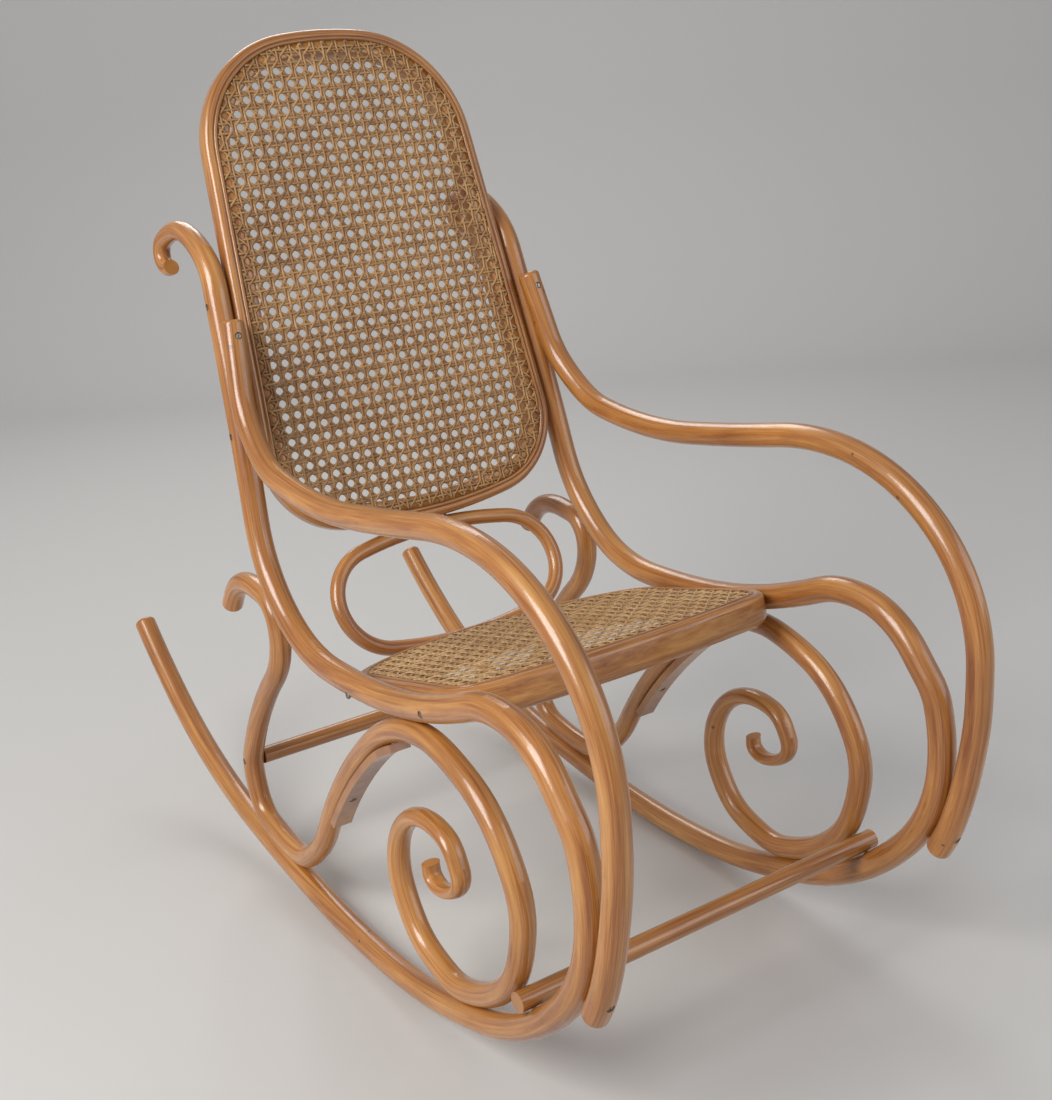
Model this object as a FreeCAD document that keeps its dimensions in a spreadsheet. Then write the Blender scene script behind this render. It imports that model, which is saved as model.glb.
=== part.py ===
import FreeCAD, Part
import Sketcher
import math
import os

# Bentwood rocking chair with caned seat and back.
# Millimetres. +Z is up, X runs across the chair, the sitter faces -Y.
# Each side lies in a plane of its own. Bent rods are drawn there as stations: how far
# back a point is, how high it is, and the heading of the rod as it passes through it.

doc = FreeCAD.newDocument("rocking_chair")
V = FreeCAD.Vector

SIZES = [
    ("side_length", "1160"),
    ("side_height", "830"),
    ("half_spread", "231"),
    ("rest_tilt", "6"),
    ("runner_rod", "15"),
    ("runner_tip", "10"),
    ("arm_rod", "14"),
    ("scroll_rod", "13.5"),
    ("scroll_tip_wide", "11"),
    ("scroll_tip_thin", "6"),
    ("upright_lean", "5.6"),
    ("fit_gap", "0.3"),
    ("stretcher_rod", "11"),
    ("brace_wide", "24"),
    ("brace_thick", "9"),
    ("ring_rod", "9.5"),
    ("ring_half_wide", "158"),
    ("back_depth", "28"),
    ("back_bar", "32"),
    ("back_rise", "335"),
    ("back_drop", "290"),
    ("seat_thick", "38"),
    ("seat_bar", "42"),
    ("seat_front", "180"),
    ("seat_rear", "522"),
    ("seat_pitch", "20.5"),
    ("cane_thick", "1.6"),
    ("spline_wide", "5"),
    ("spline_deep", "5"),
    ("spline_proud", "0.8"),
    ("spline_inset", "11"),
    ("screw_rod", "2"),
    ("screw_head", "4.2"),
    ("screw_cap", "2.6"),
    ("screw_play", "0.15"),
]
sheet = doc.addObject("Spreadsheet::Sheet", "sizes")
for row, (name, value) in enumerate(SIZES, 1):
    sheet.set("A%d" % row, name)
    sheet.set("B%d" % row, value)
    sheet.setAlias("B%d" % row, name)
doc.recompute()


def size(name):
    return float(sheet.get(name))


GAP = size("fit_gap")
SPREAD = size("half_spread")
DRAWN_LENGTH = 1160.0
DRAWN_HEIGHT = 830.0
STRETCH_Y = size("side_length") / DRAWN_LENGTH
STRETCH_Z = size("side_height") / DRAWN_HEIGHT
TILT = math.radians(size("rest_tilt"))

# ---------------------------------------------------------------- rods in a side plane


def laid(y, z, heading):
    """A drawn station, stretched to the chair's size and tipped to its rest."""
    turn = math.radians(heading)
    bend = math.atan2(math.sin(turn) * STRETCH_Z, math.cos(turn) * STRETCH_Y)
    bend += 2 * math.pi * round((turn - bend) / (2 * math.pi))
    sy = y * STRETCH_Y
    sz = z * STRETCH_Z
    return (
        sy * math.cos(TILT) - sz * math.sin(TILT),
        sy * math.sin(TILT) + sz * math.cos(TILT),
        bend + TILT,
    )


def along_arc(start, end_point, steps):
    """Points of the arc that leaves a station and reaches a point."""
    y, z, turn = start
    dy, dz = end_point[0] - y, end_point[1] - z
    chord = math.hypot(dy, dz)
    half = math.atan2(dz, dy) - turn
    half = math.atan2(math.sin(half), math.cos(half))
    points = []
    for step in range(1, steps + 1):
        share = step / steps
        if abs(half) < 1e-6:
            points.append((y + dy * share, z + dz * share, turn))
        else:
            radius = chord / (2 * math.sin(half))
            now = turn + 2 * half * share
            points.append(
                (
                    y + radius * (math.sin(now) - math.sin(turn)),
                    z - radius * (math.cos(now) - math.cos(turn)),
                    now,
                )
            )
    return points


def two_arcs(first, last, steps=24):
    """Two tangent arcs that join one station to the next."""
    ty0, tz0 = math.cos(first[2]), math.sin(first[2])
    ty1, tz1 = math.cos(last[2]), math.sin(last[2])
    vy, vz = last[0] - first[0], last[1] - first[1]
    across = vy * (ty0 + ty1) + vz * (tz0 + tz1)
    spare = 2 * (1 - ty0 * ty1 - tz0 * tz1)
    span = vy * vy + vz * vz
    if spare < 1e-9:
        reach = span / (2 * across)
    else:
        reach = (-across + math.sqrt(across * across + spare * span)) / spare
    middle = (
        (first[0] + last[0] + reach * (ty0 - ty1)) / 2,
        (first[1] + last[1] + reach * (tz0 - tz1)) / 2,
    )
    front = along_arc(first, middle, steps)
    back = along_arc(front[-1], (last[0], last[1]), steps)
    return front + back


def chain(stations):
    """Close points along the whole rod, each with its heading."""
    points = [stations[0]]
    for first, last in zip(stations, stations[1:]):
        points += two_arcs(first, last)
    return points


def nearest(points, y, z):
    return min(points, key=lambda p: (p[0] - y) ** 2 + (p[1] - z) ** 2)


def beside(point, distance, turned=0.0):
    """The station a distance to the left of a rod's heading, then turned."""
    y, z, turn = point
    return (y - distance * math.sin(turn), z + distance * math.cos(turn), turn + turned)


def closest(points, y, z):
    spot = nearest(points, y, z)
    return math.hypot(spot[0] - y, spot[1] - z)


RUNNER_STATIONS = [
    (911, 765, -32),
    (932, 795, 143),
    (872, 814, 187),
    (789, 759, 246),
    (684, 502, 250),
    (600, 405, 210),
    (492, 385, 173),
    (339, 416, 163),
    (195, 480, 150),
    (130, 496, 180),
    (52, 462, 226),
    (15, 418, 248),
    (0, 340, 270),
    (34, 232, 304),
    (179, 107, 335),
    (348, 50, 349.5),
    (441, 36, 354),
    (560, 29, 359.3),
    (760, 36, 365),
    (887, 59, 375.5),
    (1120, 182, 398),
]
raw_runner = chain([laid(*station) for station in RUNNER_STATIONS])
LIFT = size("runner_rod") - min(point[1] for point in raw_runner)


def lifted(y, z, heading):
    station = laid(y, z, heading)
    return (station[0], station[1] + LIFT, station[2])


def spot(y, z):
    return lifted(y, z, 0)[:2]


runner_stations = [lifted(*station) for station in RUNNER_STATIONS]
runner = chain(runner_stations)

reach = size("runner_rod") + size("scroll_rod") + GAP
knee = beside(nearest(runner, *spot(628, 425)), reach)
foot = beside(nearest(runner, *spot(662, 16)), reach, math.pi)
crown = beside(nearest(runner, *spot(322, 421)), reach)
scroll_foot = beside(nearest(runner, *spot(203, 96)), reach)


def wound(station, near_heading):
    """The same station with its heading counted on from the bends before it."""
    turn = math.radians(near_heading)
    bend = station[2] + 2 * math.pi * round((turn - station[2]) / (2 * math.pi))
    return (station[0], station[1], bend)


scroll_stations = [
    lifted(771, 358, 116),
    lifted(742, 396, 145),
    lifted(690, 411, 180),
    wound(knee, 212),
    lifted(632, 355, 277),
    lifted(657, 300, 310),
    lifted(743, 153, 291),
    lifted(734, 84, 240),
    wound(foot, 180),
    lifted(584, 77, 138),
    lifted(529, 149, 114),
    lifted(406, 333, 133),
    wound(crown, 157),
    lifted(258, 401, 186),
    lifted(155, 362, 222),
    lifted(108, 270, 272),
    lifted(133, 185, 306),
    wound(scroll_foot, 336),
    lifted(290, 124, 376),
    lifted(344, 172, 420),
    lifted(353, 228, 460),
    lifted(287, 298, 529),
    lifted(232, 283, 596),
    lifted(222, 260, 632),
    lifted(246, 231, 692),
    lifted(276, 228, 745),
    lifted(284, 246, 812),
]
scroll = chain(scroll_stations)

# ------------------------------------------------------------- the lean of the sides
# Above a hinge on its own line, the rod's plane is turned a little, so that the
# uprights close in on the back. The hinge is the rod's tangent, so the bend stays fair.


def leaned(station, hinge, angle):
    """A station of the leaned part, as (inset towards the middle, y, z, heading)."""
    y, z, turn = station
    hy, hz, ht = hinge
    along = (y - hy) * math.cos(ht) + (z - hz) * math.sin(ht)
    away = -(y - hy) * math.sin(ht) + (z - hz) * math.cos(ht)
    seen = away * math.cos(angle)
    heading = ht + seen_turn(turn - ht, math.cos(angle))
    return (
        -away * math.sin(angle),
        hy + along * math.cos(ht) - seen * math.sin(ht),
        hz + along * math.sin(ht) + seen * math.cos(ht),
        heading,
    )


def seen_turn(turn, flat):
    """A turn from the hinge, as it looks from the side once leaned."""
    seen = math.atan2(math.sin(turn) * flat, math.cos(turn))
    return seen + 2 * math.pi * round((turn - seen) / (2 * math.pi))


def unleaned(station, hinge, angle):
    """The drawn station that a lean brings to where it is wanted."""
    y, z, turn = station
    hy, hz, ht = hinge
    along = (y - hy) * math.cos(ht) + (z - hz) * math.sin(ht)
    away = (-(y - hy) * math.sin(ht) + (z - hz) * math.cos(ht)) / math.cos(angle)
    return (
        hy + along * math.cos(ht) - away * math.sin(ht),
        hz + along * math.sin(ht) + away * math.cos(ht),
        ht + seen_turn(turn - ht, 1 / math.cos(angle)),
    )


LEAN = math.radians(size("upright_lean"))
HINGE = 5
hinge = runner_stations[HINGE]
upright_drawn = chain(runner_stations[:HINGE + 1])
upright_full = [leaned(point, hinge, LEAN) for point in upright_drawn]
upright = [point[1:] for point in upright_full]


def upright_inset(y, z):
    """How far in from its side plane the upright is, at its nearest point."""
    return min(upright_full, key=lambda p: (p[1] - y) ** 2 + (p[2] - z) ** 2)[0]


arm_gap = size("runner_rod") + size("arm_rod") + GAP
arm_top = beside(nearest(upright, *spot(772, 716)), -arm_gap)
arm_low = beside(nearest(upright, *spot(763, 692)), -arm_gap)
arm_foot_high = beside(nearest(runner, *spot(8, 300)), -arm_gap)
arm_foot = beside(nearest(runner, *spot(18, 266)), -arm_gap)
ARM_HINGE = 3
arm_hinge = lifted(600, 581, 182.7)
arm_away = math.hypot(arm_low[0] - arm_hinge[0], arm_low[1] - arm_hinge[1])
arm_away *= abs(math.sin(math.atan2(arm_low[1] - arm_hinge[1], arm_low[0] - arm_hinge[0]) - arm_hinge[2]))
ARM_LEAN = math.atan(upright_inset(arm_low[0], arm_low[1]) / arm_away)
arm_stations = [
    unleaned(wound(arm_top, 250), arm_hinge, ARM_LEAN),
    unleaned(wound(arm_low, 248), arm_hinge, ARM_LEAN),
    lifted(682, 617, 219),
    arm_hinge,
    lifted(429, 597, 166),
    lifted(275, 640, 163),
    lifted(176, 654, 181),
    lifted(46, 611, 216),
    lifted(-31, 483, 262),
    lifted(-37, 400, 272),
    wound(arm_foot_high, 287),
    wound(arm_foot, 293),
]
arm_drawn = chain(arm_stations[:ARM_HINGE + 1])
arm_full = [leaned(point, arm_hinge, ARM_LEAN) for point in arm_drawn]
arm = [point[1:] for point in arm_full] + chain(arm_stations[ARM_HINGE:])


def arm_inset(y, z):
    return min(arm_full, key=lambda p: (p[1] - y) ** 2 + (p[2] - z) ** 2)[0]


def no_inset(y, z):
    return 0.0


# ------------------------------------------------------------------ solids of the rods


def bends(stations):
    """The rod's bends in order: each a pair of stations that one arc joins."""
    found = []
    for first, last in zip(stations, stations[1:]):
        points = [first] + two_arcs(first, last, 1)
        found += [(points[0], points[1]), (points[1], points[2])]
    return found


def in_space(station, side, hinge, angle):
    """Where a station is, which way the rod runs and the axis its bends turn about."""
    y, z, turn = station
    place = V(0, y, z)
    tangent = V(0, math.cos(turn), math.sin(turn))
    axle = V(1, 0, 0)
    if angle:
        pin = V(0, math.cos(hinge[2]), math.sin(hinge[2]))
        swing = FreeCAD.Rotation(pin, math.degrees(side * angle))
        base = V(0, hinge[0], hinge[1])
        place = base + swing.multVec(place - base)
        tangent = swing.multVec(tangent)
        axle = swing.multVec(axle)
    return place, tangent, axle


def section(place, tangent, axle, wide, thin):
    """The rod's outline across its run: wide lies along the axle of the bends."""
    across = axle.cross(tangent).normalize()
    if abs(wide - thin) < 1e-6:
        turned = FreeCAD.Placement(place, FreeCAD.Rotation(axle, across, tangent, "ZXY"))
        ring = Part.Circle(V(0, 0, 0), V(0, 0, 1), wide).toShape()
    else:
        turned = FreeCAD.Placement(place, FreeCAD.Rotation(axle, across, tangent, "ZXY"))
        ring = Part.Ellipse(V(0, 0, 0), wide, thin).toShape()
    ring.Placement = turned
    return ring


END_ROUND = 0.38


def bent_solid(stations, side, rod, hinge_at=0, angle=0.0, taper=None):
    """One rod. Each bend turns the rod's own round section about the bend's centre.

    A taper is (first station, last station, rings), each ring a half width and a half
    thickness; its stretch is a loft through rings set along it."""
    hinge_station = stations[hinge_at]
    low, high = (0, len(stations) - 1)
    faces = []
    if taper:
        low_taper, high_taper, wide_ends, thin_ends = taper
        if low_taper == 0:
            low = high_taper
        else:
            high = low_taper
        faces += taper_faces(stations[low_taper:high_taper + 1], side, hinge_station,
                             angle if low_taper < hinge_at else 0.0, wide_ends, thin_ends)
    first = in_space(stations[low], side, hinge_station, angle if low < hinge_at else 0.0)
    edge = section(first[0], first[1], first[2], rod, rod)
    if not (taper and taper[0] == 0):
        faces += rounded_end(first[0], -first[1], first[2], rod)
    for index in range(low, high):
        lean = angle if index < hinge_at else 0.0
        for start, stop in bends(stations[index:index + 2]):
            place, tangent, axle = in_space(start, side, hinge_station, lean)
            turn = stop[2] - start[2]
            chord = math.hypot(stop[0] - start[0], stop[1] - start[1])
            if abs(turn) < 1e-5:
                faces.append(edge.extrude(tangent * chord))
                edge = edge.copy()
                edge.translate(tangent * chord)
                continue
            radius = chord / (2 * math.sin(turn / 2))
            centre = place + axle.cross(tangent) * radius
            faces.append(edge.revolve(centre, axle, math.degrees(turn)))
            edge = edge.copy()
            edge.rotate(centre, axle, math.degrees(turn))
    if not (taper and taper[1] == len(stations) - 1):
        place, tangent, axle = in_space(stations[high], side, hinge_station, 0.0)
        faces += rounded_end(place, tangent, axle, rod)
    return sewn(faces)


def rounded_end(place, outward, axle, rod):
    """The end of a round rod: flat in the middle, with its rim rounded over."""
    rim = rod * END_ROUND
    tip = place + outward * rim
    flat = Part.LineSegment(tip, tip + axle * (rod - rim)).toShape()
    bulge = place + axle * (rod - rim) + (axle + outward) * (rim * math.sqrt(0.5))
    over = Part.Arc(tip + axle * (rod - rim), bulge, place + axle * rod).toShape()
    return [edge.revolve(place, outward, 360) for edge in (flat, over)]


def taper_faces(stations, side, hinge_station, lean, wide_ends, thin_ends):
    """The tapered stretch of a rod: a face for each bend and the flat at the tip."""
    spans = bends(stations)
    run = lengths([spans[0][0]] + [stop for _, stop in spans])
    faces = []
    rings = []
    for index, (start, stop) in enumerate(spans):
        for point in (start, stop)[0 if not rings else 1:]:
            share = run[len(rings)] / run[-1]
            wide = wide_ends[0] + (wide_ends[1] - wide_ends[0]) * share
            thin = thin_ends[0] + (thin_ends[1] - thin_ends[0]) * share
            place, tangent, axle = in_space(point, side, hinge_station, lean)
            rings.append(Part.Wire([section(place, tangent, axle, wide, thin)]))
        halfway = along_arc(start, (stop[0], stop[1]), 2)[0]
        corners = [
            in_space(point, side, hinge_station, lean)[0] for point in (start, halfway, stop)
        ]
        spine = Part.Wire([Part.Arc(*corners).toShape()])
        faces += spine.makePipeShell(rings[-2:], False, False).Faces
    tip = rings[0] if wide_ends[0] < wide_ends[1] else rings[-1]
    return faces + [Part.Face(tip)]


def lengths(points):
    run = [0.0]
    for first, last in zip(points, points[1:]):
        run.append(run[-1] + math.hypot(last[0] - first[0], last[1] - first[1]))
    return run


def sewn(faces):
    shell = Part.makeShell([face for part in faces for face in part.Faces])
    shell.sewShape()
    return Part.makeSolid(Part.Shell(shell.Faces))


def bored(name, solid, tools, place):
    """The finished sub-part: a solid less the ways of its screws, put in its place."""
    holes = doc.addObject("Part::Feature", name + "_holes")
    holes.Shape = Part.makeCompound(tools)
    piece = doc.addObject("Part::Cut", name)
    piece.Base = solid
    piece.Tool = holes
    piece.Label = name
    piece.Placement = place
    return piece


# --------------------------------------------------------------------------- screws
# A screw is (head point on the wood's face, direction, length, sink of the head).

SCREW_ROD = size("screw_rod")
SCREW_HEAD = size("screw_head")
SCREW_CAP = size("screw_cap")
PLAY = size("screw_play")


def screw_solid(screw):
    """A slotted round head on a plain shank."""
    start, along, length, sink = screw
    along = V(along).normalize()
    seat = start + along * sink
    cap = Part.makeCylinder(SCREW_HEAD, SCREW_CAP, seat, along)
    cap = cap.makeFillet(SCREW_CAP * 0.45, [edge_at(cap, seat)])
    side_way = along.cross(V(1, 0, 0)) if abs(along.x) < 0.9 else V(0, 0, 1)
    side_way.normalize()
    slot = Part.makeBox(3 * SCREW_HEAD, 0.9, 1.8)
    slot.translate(V(-1.5 * SCREW_HEAD, -0.45, -0.9))
    slot.Placement = FreeCAD.Placement(
        seat, FreeCAD.Rotation(side_way, V(0, 0, 0), along, "ZXY")
    ).multiply(slot.Placement)
    shank = Part.makeCylinder(SCREW_ROD, length - sink - SCREW_CAP, seat + along * SCREW_CAP, along)
    return cap.cut(slot).fuse(shank).removeSplitter()


def edge_at(cap, seat):
    """The rim of a head at its open end."""
    rims = [edge for edge in cap.Edges if isinstance(edge.Curve, Part.Circle)]
    return min(rims, key=lambda edge: edge.Curve.Center.distanceToPoint(seat))


def screw_bore(screw, origin):
    """The way a screw needs through the wood, from a piece's own origin."""
    start, along, length, sink = screw
    along = V(along).normalize()
    face = start - origin
    head = Part.makeCylinder(
        SCREW_HEAD + PLAY, 12 + sink + SCREW_CAP + PLAY, face - along * 12, along
    )
    shank = Part.makeCylinder(SCREW_ROD + PLAY, length + PLAY, face, along)
    return head.fuse(shank)


def screw_group(name, screws):
    group = doc.addObject("Part::Feature", name)
    group.Shape = Part.makeCompound([screw_solid(screw) for screw in screws])
    group.Label = name
    return group


def on_side(point, side, inset=no_inset):
    """A side-plane point in the chair's own frame."""
    return V(side * (SPREAD - inset(point[0], point[1])), point[0], point[1])


def through(points, y, z, rod, side, inset, leftward, grip):
    """A screw into a rod pair: in at the outer face of one rod, on into its mate."""
    point = nearest(points, y, z)
    sign = 1.0 if leftward else -1.0
    way = V(0, -math.sin(point[2]) * sign, math.cos(point[2]) * sign)
    start = on_side(point, side, inset) - way * rod
    return (start, way, 2 * rod + GAP + grip, 1.2)


# ----------------------------------------------------------------- frames with cane


def outline(half_wide, splay, rise, drop, caps, corners):
    """Centres and radii of a rounded frame, as one table for every offset of it.

    half_wide is taken on the middle line, splay is the lean of the two long sides
    (wider below for a positive one), rise and drop are the reach above and below."""
    cos_s, sin_s = math.cos(splay), math.sin(splay)
    found = []
    for sign, reach_, cap, corner in ((1, rise, caps[0], corners[0]), (-1, drop, caps[1], corners[1])):
        middle = sign * (reach_ - cap)
        low, high = 0.0, reach_
        for _ in range(60):
            level = (low + high) / 2
            side_x = (half_wide * cos_s - corner - sign * level * sin_s) / cos_s
            slack = math.hypot(side_x, sign * level - middle) - (cap - corner)
            if slack > 0:
                high = level
            else:
                low = level
        found.append((side_x, sign * level, corner, middle, cap))
    return found, (half_wide * cos_s, cos_s, sin_s)


def outline_edges(table, inward):
    """The closed run of arcs and lines that lies a given distance inside an outline."""
    (top, low), (wide, cos_s, sin_s) = table
    edges = []

    def corner_arc(spec, mirror, upper):
        x, y, corner, middle, cap = spec
        centre = V(mirror * x, y, 0)
        to_cap = (centre - V(0, middle, 0)).normalize()
        to_side = V(mirror * cos_s, sin_s, 0)
        radius = corner - inward
        halfway = (to_cap + to_side).normalize()
        return centre + to_side * radius, centre + halfway * radius, centre + to_cap * radius

    right_top = corner_arc(top, 1, True)
    left_top = corner_arc(top, -1, True)
    right_low = corner_arc(low, 1, False)
    left_low = corner_arc(low, -1, False)
    top_mid = V(0, top[3] + top[4] - inward, 0)
    low_mid = V(0, low[3] - low[4] + inward, 0)
    edges.append(Part.Arc(*right_top))
    edges.append(Part.Arc(right_top[2], top_mid, left_top[2]))
    edges.append(Part.Arc(left_top[2], left_top[1], left_top[0]))
    edges.append(Part.LineSegment(left_top[0], left_low[0]))
    edges.append(Part.Arc(*left_low))
    edges.append(Part.Arc(left_low[2], low_mid, right_low[2]))
    edges.append(Part.Arc(right_low[2], right_low[1], right_low[0]))
    edges.append(Part.LineSegment(right_low[0], right_top[0]))
    return edges


def plane_of(body):
    for feature in body.Origin.OriginFeatures:
        if feature.Role == "XY_Plane":
            return feature


def outline_sketch(body, name, table, inwards, height=None):
    """A sketch on the body's own plane, holding one outline for each offset given."""
    sketch = body.newObject("Sketcher::SketchObject", name)
    sketch.AttachmentSupport = [(plane_of(body), "")]
    sketch.MapMode = "FlatFace"
    if height is not None:
        sketch.setExpression(".AttachmentOffset.Base.z", height)
    for inward in inwards:
        for edge in outline_edges(table, inward):
            sketch.addGeometry(edge, False)
    doc.recompute()
    return sketch


def padded(body, name, sketch, length, middle=False):
    pad = body.newObject("PartDesign::Pad", name)
    pad.Profile = sketch
    pad.setExpression("Length", length)
    pad.Midplane = middle
    sketch.Visibility = False
    doc.recompute()
    return pad


def pocketed(body, name, sketch, length):
    """A pocket that must take wood away; the way it runs is turned if it doesn't."""
    before = body.Shape.Volume
    pocket = body.newObject("PartDesign::Pocket", name)
    pocket.Profile = sketch
    pocket.setExpression("Length", length)
    doc.recompute()
    if body.Shape.Volume > before - 1:
        pocket.Reversed = True
        doc.recompute()
    return pocket


def caned_frame(prefix, table, bar, depth, place, screws):
    """A wooden frame, the cane sheet let into its face, and the spline round it."""
    groove = size("spline_inset")
    wide = size("spline_wide")
    frame = doc.addObject("PartDesign::Body", prefix + "_frame_wood")
    sketch = outline_sketch(frame, prefix + "_rim", table, [0, size(bar)])
    padded(frame, prefix + "_pad", sketch, "sizes." + depth, True)
    face = "sizes.%s / 2" % depth
    rebate = outline_sketch(
        frame, prefix + "_rebate", table, [groove + wide, size(bar) + 0.01], face
    )
    pocketed(frame, prefix + "_let_in", rebate, "sizes.cane_thick")
    slot = outline_sketch(frame, prefix + "_slot", table, [groove, groove + wide], face)
    pocketed(frame, prefix + "_groove", slot, "sizes.spline_deep")
    tools = [screw_bore(screw, V(0, 0, 0)) for screw in screws]
    for tool in tools:
        tool.Placement = place.inverse().multiply(tool.Placement)
    piece = bored(prefix + "_frame", frame, tools, place)

    cane = doc.addObject("PartDesign::Body", prefix + "_cane")
    sheet_sketch = outline_sketch(
        cane, prefix + "_cane_edge", table, [groove + wide + GAP], face + " - sizes.cane_thick"
    )
    padded(cane, prefix + "_cane_pad", sheet_sketch, "sizes.cane_thick")
    cane.Label = prefix + "_cane"
    cane.Placement = place

    spline = doc.addObject("PartDesign::Body", prefix + "_spline")
    ring_sketch = outline_sketch(
        spline,
        prefix + "_spline_edge",
        table,
        [groove + GAP / 2, groove + wide - GAP / 2],
        face + " - sizes.spline_deep",
    )
    padded(spline, prefix + "_spline_pad", ring_sketch, "sizes.spline_deep + sizes.spline_proud")
    spline.Label = prefix + "_spline"
    spline.Placement = place
    return [piece, cane, spline]


# ------------------------------------------------------------- where the frames sit

upright_mid = nearest(upright, *spot(772, 731))
lean_up = V(0, -math.cos(upright_mid[2]), -math.sin(upright_mid[2])).normalize()
back_place = FreeCAD.Placement(
    V(0, upright_mid[0], upright_mid[1]),
    FreeCAD.Rotation(V(1, 0, 0), lean_up, V(0, 0, 0), "XYZ"),
)
high = nearest(upright, *spot(793, 768))
low = nearest(upright, *spot(706, 560))
high_half = SPREAD - upright_inset(high[0], high[1]) - size("runner_rod") - GAP
low_half = SPREAD - upright_inset(low[0], low[1]) - size("runner_rod") - GAP
high_along = (high[1] - upright_mid[1]) / lean_up.z
low_along = (low[1] - upright_mid[1]) / lean_up.z
splay = math.atan((low_half - high_half) / (high_along - low_along))
back_half = high_half + high_along * math.tan(splay)
back_table = outline(
    back_half - GAP,
    splay,
    size("back_rise"),
    size("back_drop"),
    (475.0, 665.0),
    (147.0, 106.0),
)

pitch = math.radians(size("seat_pitch")) - TILT
rail_mid = nearest(runner, *spot(300, 430))
seat_back = V(0, math.cos(pitch), -math.sin(pitch))
seat_up = V(0, math.sin(pitch), math.cos(pitch))
seat_top = V(0, rail_mid[0], rail_mid[1]) + seat_up * size("runner_rod")
seat_middle_y = (size("seat_front") + size("seat_rear")) / 2 * STRETCH_Y
seat_slide = (seat_middle_y - seat_top.y) / seat_back.y
seat_origin = seat_top + seat_back * seat_slide - seat_up * (size("seat_thick") / 2)
seat_place = FreeCAD.Placement(
    seat_origin, FreeCAD.Rotation(V(1, 0, 0), seat_back, V(0, 0, 0), "XYZ")
)
seat_reach = (size("seat_rear") - size("seat_front")) / 2 * STRETCH_Y / seat_back.y
seat_table = outline(
    SPREAD - size("runner_rod") - GAP,
    0.0,
    seat_reach,
    seat_reach,
    (330.0, 1100.0),
    (size("seat_bar") + 28, size("seat_bar") + 6),
)

ring_rod = size("ring_rod")
seat_end = seat_origin + seat_back * (seat_reach + ring_rod + GAP) + seat_up * 7
back_end = back_place.multVec(V(0, -size("back_drop") - ring_rod - GAP, 0))
ring_way = back_end - seat_end
ring_half_high = ring_way.Length / 2
ring_place = FreeCAD.Placement(
    (back_end + seat_end) * 0.5,
    FreeCAD.Rotation(V(1, 0, 0), V(ring_way).normalize(), V(0, 0, 0), "XYZ"),
)
ring_table = outline(
    size("ring_half_wide"),
    0.0,
    ring_half_high,
    ring_half_high,
    (520.0, 520.0),
    (ring_half_high * 0.86, ring_half_high * 0.86),
)

# ------------------------------------------------------- where the screws are driven

SIDES = (("right", -1), ("left", 1))
RUNNER_ROD = size("runner_rod")
ARM_ROD = size("arm_rod")
SCROLL_ROD = size("scroll_rod")
STRETCHER = size("stretcher_rod")

bar_reach = RUNNER_ROD + STRETCHER + GAP
bar_spots = [beside(point, bar_reach) for point in runner if point[2] > math.radians(290)]
bar_spot = [
    point
    for point in bar_spots
    if point[0] < scroll_foot[0]
    and closest(scroll, point[0], point[1]) >= SCROLL_ROD + STRETCHER + GAP
][-1]
rear_spot = nearest(scroll[:300], *spot(743, 100))

arm_screws = []
scroll_screws = []
stretcher_screws = []
back_screws = []
seat_screws = []
for _, side in SIDES:
    arm_high = (arm_top[0] - 6, arm_top[1] - 14)
    arm_screws.append(through(arm, arm_high[0], arm_high[1], ARM_ROD, side, arm_inset, True, 18))
    arm_screws.append(
        through(arm, arm_foot_high[0], arm_foot_high[1] - 16, ARM_ROD, side, no_inset, True, 18)
    )
    scroll_screws.append(through(scroll, knee[0], knee[1], SCROLL_ROD, side, no_inset, False, 16))
    scroll_screws.append(through(scroll, crown[0], crown[1], SCROLL_ROD, side, no_inset, False, 16))
    for joint in (foot, scroll_foot):
        base = nearest(runner, joint[0], joint[1])
        scroll_screws.append(
            through(runner, base[0], base[1], RUNNER_ROD, side, no_inset, True, 14)
        )
    under = nearest(runner, bar_spot[0], bar_spot[1])
    stretcher_screws.append(
        through(runner, under[0], under[1], RUNNER_ROD, side, no_inset, True, 13)
    )
    stretcher_screws.append(
        (V(side * (SPREAD + SCROLL_ROD), rear_spot[0], rear_spot[1]), V(-side, 0, 0), 56.0, 1.2)
    )
    for y, z in ((783, 745), (722, 598)):
        point = nearest(upright, *spot(y, z))
        outer = SPREAD - upright_inset(point[0], point[1]) + RUNNER_ROD
        back_screws.append((V(side * outer, point[0], point[1]), V(-side, 0, 0), 48.0, 1.2))
    for share in (-0.72, 0.26):
        inside = seat_origin + seat_back * (seat_reach * share)
        rail = nearest(runner, inside.y, inside.z)
        entry = V(side * (SPREAD + RUNNER_ROD), (inside.y + rail[0]) / 2, (inside.z + rail[1]) / 2)
        seat_screws.append((entry, V(-side, 0, 0), 52.0, 1.2))

ring_screws = []
back_down = back_place.Rotation.multVec(V(0, -1, 0))
for x in (-22, 22):
    ring_screws.append(
        (back_end + back_down * ring_rod + V(x, 0, 0), -back_down, 2 * ring_rod + 16, 1.2)
    )
    ring_screws.append(
        (seat_end + seat_back * ring_rod + V(x, 0, 0), -seat_back, 2 * ring_rod + 18, 1.2)
    )

# -------------------------------------------------------------------------- braces
# A thin strip under each arch, bent to the rod it stiffens and screwed to it.

BRACE_OUT = SCROLL_ROD + size("brace_thick") / 2 + GAP


def brace_line(points):
    """The part of the rear leg's arch that the strip follows, seen from its middle."""
    start = min(range(len(points)), key=lambda i: math.dist(points[i][:2], spot(508, 187)))
    stop = min(range(len(points)), key=lambda i: math.dist(points[i][:2], spot(352, 381)))
    return [beside(point, BRACE_OUT) for point in points[start:stop + 1]]


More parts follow.
